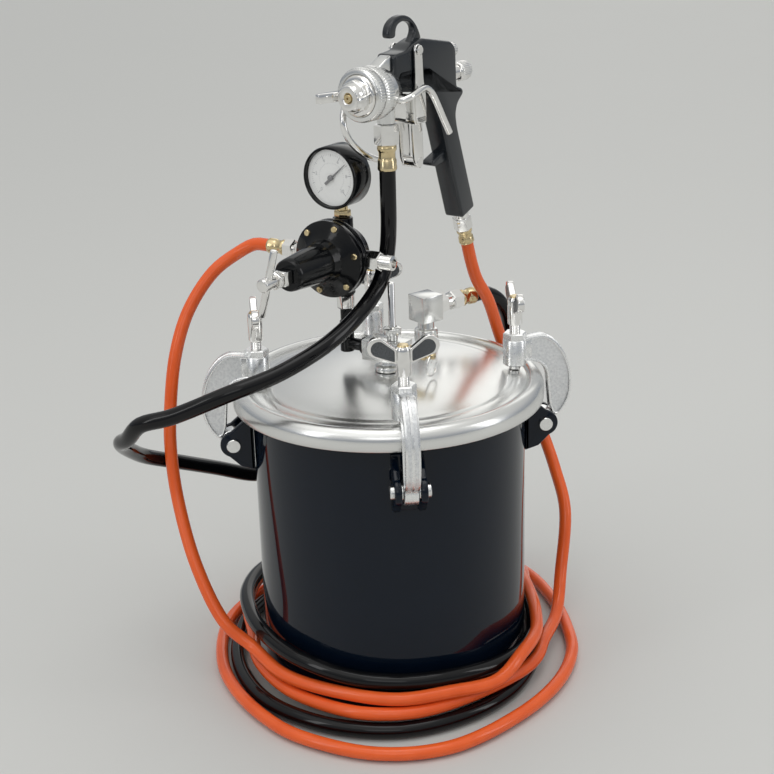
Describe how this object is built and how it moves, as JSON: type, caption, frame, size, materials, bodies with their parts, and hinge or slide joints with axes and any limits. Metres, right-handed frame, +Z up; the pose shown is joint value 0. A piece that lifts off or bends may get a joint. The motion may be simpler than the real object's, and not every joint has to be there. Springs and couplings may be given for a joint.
{
  "type": "pressure feed pot with spray gun",
  "caption": "Glossy black clamp-lid pressure feed pot with air regulator, gauge and agitator shaft, and a pressure-feed spray gun above it on black and orange hoses",
  "frame": {"origin": "centre of the pot's flat bottom", "axes": "+Z up, -Y towards the front clamp, +X to the right, metres"},
  "size_m": [0.4377, 0.4139, 0.6032],
  "materials": {
    "black_paint": "glossy black enamel with a slight blue cast",
    "lid_steel": "brushed, satin",
    "cast_alloy": "satin cast, pebbled in the recesses",
    "pin_steel": "satin",
    "chrome": "polished",
    "brass": "machined, bright",
    "black_satin": "satin black",
    "black_hose": "smooth, glossy",
    "orange_hose": "smooth, glossy",
    "seal_rubber": "matte",
    "dial_white": "printed white face",
    "needle_black": "matte black"
  },
  "bodies": {
    "pot": {"tank": "black_paint", "lid": "lid_steel", "gasket": "seal_rubber", "manifold": "lid_steel", "gland_nut": "lid_steel", "riser": "lid_steel", "relief_valve": "brass", "outlet_elbow": "lid_steel", "dip_tube": "lid_steel", "outlet_nut": "chrome", "outlet_ferrule": "brass", "regulator_body": "black_satin", "bonnet": "black_satin", "nipple": "chrome", "air_out_nut": "chrome", "air_out_ferrule": "brass", "gauge_case": "black_satin", "gauge_stem": "brass", "gauge_dial": "dial_white", "gun_body": "black_paint", "gun_head": "lid_steel", "fluid_nozzle": "brass", "trigger_pin": "chrome", "rest_wire": "chrome", "gun_fluid_nut": "chrome", "gun_fluid_ferrule": "brass", "gun_air_nut": "chrome", "gun_air_ferrule": "brass", "fluid_hose": "black_hose", "air_hose": "orange_hose", "lug_front": "black_paint", "lug_right": "black_paint", "lug_back": "black_paint", "lug_left": "black_paint"},
    "arm_front": {"arm_front": "cast_alloy"},
    "foot_front": {"foot_front": "pin_steel"},
    "screw_front": {"screw_front": "chrome"},
    "arm_right": {"arm_right": "cast_alloy"},
    "foot_right": {"foot_right": "pin_steel"},
    "screw_right": {"screw_right": "chrome"},
    "arm_back": {"arm_back": "cast_alloy"},
    "foot_back": {"foot_back": "pin_steel"},
    "screw_back": {"screw_back": "chrome"},
    "arm_left": {"arm_left": "cast_alloy"},
    "foot_left": {"foot_left": "pin_steel"},
    "screw_left": {"screw_left": "chrome"},
    "agitator": {"agitator_shaft": "chrome", "agitator_paddle": "lid_steel"},
    "relief_pull": {"relief_stem": "brass"},
    "relief_loop": {"relief_ring": "chrome"},
    "spring_plate": {"spring_button": "lid_steel"},
    "tee_handle": {"regulator_handle": "chrome"},
    "dial_pointer": {"gauge_needle": "needle_black"},
    "gun_trigger": {"trigger": "chrome"},
    "needle_rod": {"fluid_needle": "lid_steel"},
    "air_valve": {"air_valve_stem": "lid_steel"},
    "fluid_adjuster": {"fluid_knob": "chrome"},
    "pattern_adjuster": {"pattern_knob": "chrome"},
    "cap_and_ring": {"air_cap": "chrome", "retaining_ring": "lid_steel"}
  },
  "joints": [
    {"name": "clamp_swing_front", "type": "hinge", "parent": "pot", "child": "arm_front", "pos_m": [0, -0.144, 0.2305], "axis": [1, 0, 0], "range_deg": [0, 90]},
    {"name": "screw_travel_front", "type": "slide", "parent": "arm_front", "child": "foot_front", "axis": [0, 0, 1], "range_m": [0, 0.0045]},
    {"name": "wing_screw_front", "type": "hinge", "parent": "foot_front", "child": "screw_front", "pos_m": [0, -0.118, 0.33], "axis": [0, 0, 1], "range_deg": [0, 1080]},
    {"name": "clamp_swing_right", "type": "hinge", "parent": "pot", "child": "arm_right", "pos_m": [0.144, 0, 0.2305], "axis": [0, 1, 0], "range_deg": [0, 90]},
    {"name": "screw_travel_right", "type": "slide", "parent": "arm_right", "child": "foot_right", "axis": [0, 0, 1], "range_m": [0, 0.0045]},
    {"name": "wing_screw_right", "type": "hinge", "parent": "foot_right", "child": "screw_right", "pos_m": [0.118, 0, 0.33], "axis": [0, 0, 1], "range_deg": [0, 1080]},
    {"name": "clamp_swing_back", "type": "hinge", "parent": "pot", "child": "arm_back", "pos_m": [0, 0.144, 0.2305], "axis": [-1, 0, 0], "range_deg": [0, 90]},
    {"name": "screw_travel_back", "type": "slide", "parent": "arm_back", "child": "foot_back", "axis": [0, 0, 1], "range_m": [0, 0.0045]},
    {"name": "wing_screw_back", "type": "hinge", "parent": "foot_back", "child": "screw_back", "pos_m": [0, 0.118, 0.33], "axis": [0, 0, 1], "range_deg": [0, 1080]},
    {"name": "clamp_swing_left", "type": "hinge", "parent": "pot", "child": "arm_left", "pos_m": [-0.144, 0, 0.2305], "axis": [0, -1, 0], "range_deg": [0, 60]},
    {"name": "screw_travel_left", "type": "slide", "parent": "arm_left", "child": "foot_left", "axis": [0, 0, 1], "range_m": [0, 0.0045]},
    {"name": "wing_screw_left", "type": "hinge", "parent": "foot_left", "child": "screw_left", "pos_m": [-0.118, 0, 0.33], "axis": [0, 0, 1], "range_deg": [0, 1080]},
    {"name": "agitator_spin", "type": "hinge", "parent": "pot", "child": "agitator", "pos_m": [0.00479, -0.00361, 0.2], "axis": [0, 0, 1], "continuous": true},
    {"name": "relief_pull", "type": "slide", "parent": "pot", "child": "relief_pull", "axis": [0.7986, -0.6018, 0], "range_m": [0, 0.003], "stiffness_N_per_m": 150},
    {"name": "relief_loop_swing", "type": "hinge", "parent": "relief_pull", "child": "relief_loop", "pos_m": [0.03674, -0.02768, 0.3085], "axis": [0.6018, 0.7986, 0], "range_deg": [-25, 25]},
    {"name": "regulator_screw_travel", "type": "slide", "parent": "pot", "child": "spring_plate", "axis": [-0.6428, -0.766, 0], "range_m": [0, 0.0045]},
    {"name": "regulator_screw_turn", "type": "hinge", "parent": "spring_plate", "child": "tee_handle", "pos_m": [-0.10692, -0.06231, 0.394], "axis": [-0.6428, -0.766, 0], "range_deg": [0, 1080]},
    {"name": "gauge_pointer", "type": "hinge", "parent": "pot", "child": "dial_pointer", "pos_m": [-0.04393, 0.01276, 0.4655], "axis": [-0.6428, -0.766, 0], "range_deg": [-85, 185], "stiffness_Nm_per_rad": 0.0005},
    {"name": "trigger_pull", "type": "hinge", "parent": "pot", "child": "gun_trigger", "pos_m": [0.02598, 0.02004, 0.573], "axis": [0.7314, -0.682, 0], "range_deg": [0, 10], "stiffness_Nm_per_rad": 0.05, "springref_deg": -57.3},
    {"name": "needle_travel", "type": "slide", "parent": "pot", "child": "needle_rod", "axis": [0.682, 0.7314, 0], "range_m": [0, 0.0055]},
    {"name": "air_valve_travel", "type": "slide", "parent": "pot", "child": "air_valve", "axis": [0.682, 0.7314, 0], "range_m": [0, 0.008]},
    {"name": "fluid_knob_turn", "type": "hinge", "parent": "pot", "child": "fluid_adjuster", "pos_m": [0.08293, 0.08111, 0.543], "axis": [-0.682, -0.7314, 0], "range_deg": [0, 1080]},
    {"name": "pattern_knob_turn", "type": "hinge", "parent": "pot", "child": "pattern_adjuster", "pos_m": [0.0727, 0.07014, 0.564], "axis": [-0.682, -0.7314, 0], "range_deg": [0, 720]},
    {"name": "air_cap_turn", "type": "hinge", "parent": "pot", "child": "cap_and_ring", "pos_m": [-0.02278, -0.03225, 0.543], "axis": [-0.682, -0.7314, 0], "range_deg": [-90, 90]}
  ],
  "couplings": [
    {"joint": "wing_screw_front", "follows": "screw_travel_front", "rad_per_m": 4188.8},
    {"joint": "wing_screw_right", "follows": "screw_travel_right", "rad_per_m": 4188.8},
    {"joint": "wing_screw_back", "follows": "screw_travel_back", "rad_per_m": 4188.8},
    {"joint": "wing_screw_left", "follows": "screw_travel_left", "rad_per_m": 4188.8},
    {"joint": "regulator_screw_turn", "follows": "regulator_screw_travel", "rad_per_m": 4188.8},
    {"joint": "needle_travel", "follows": "trigger_pull", "m_per_rad": 0.03},
    {"joint": "air_valve_travel", "follows": "trigger_pull", "m_per_rad": 0.044}
  ]
}
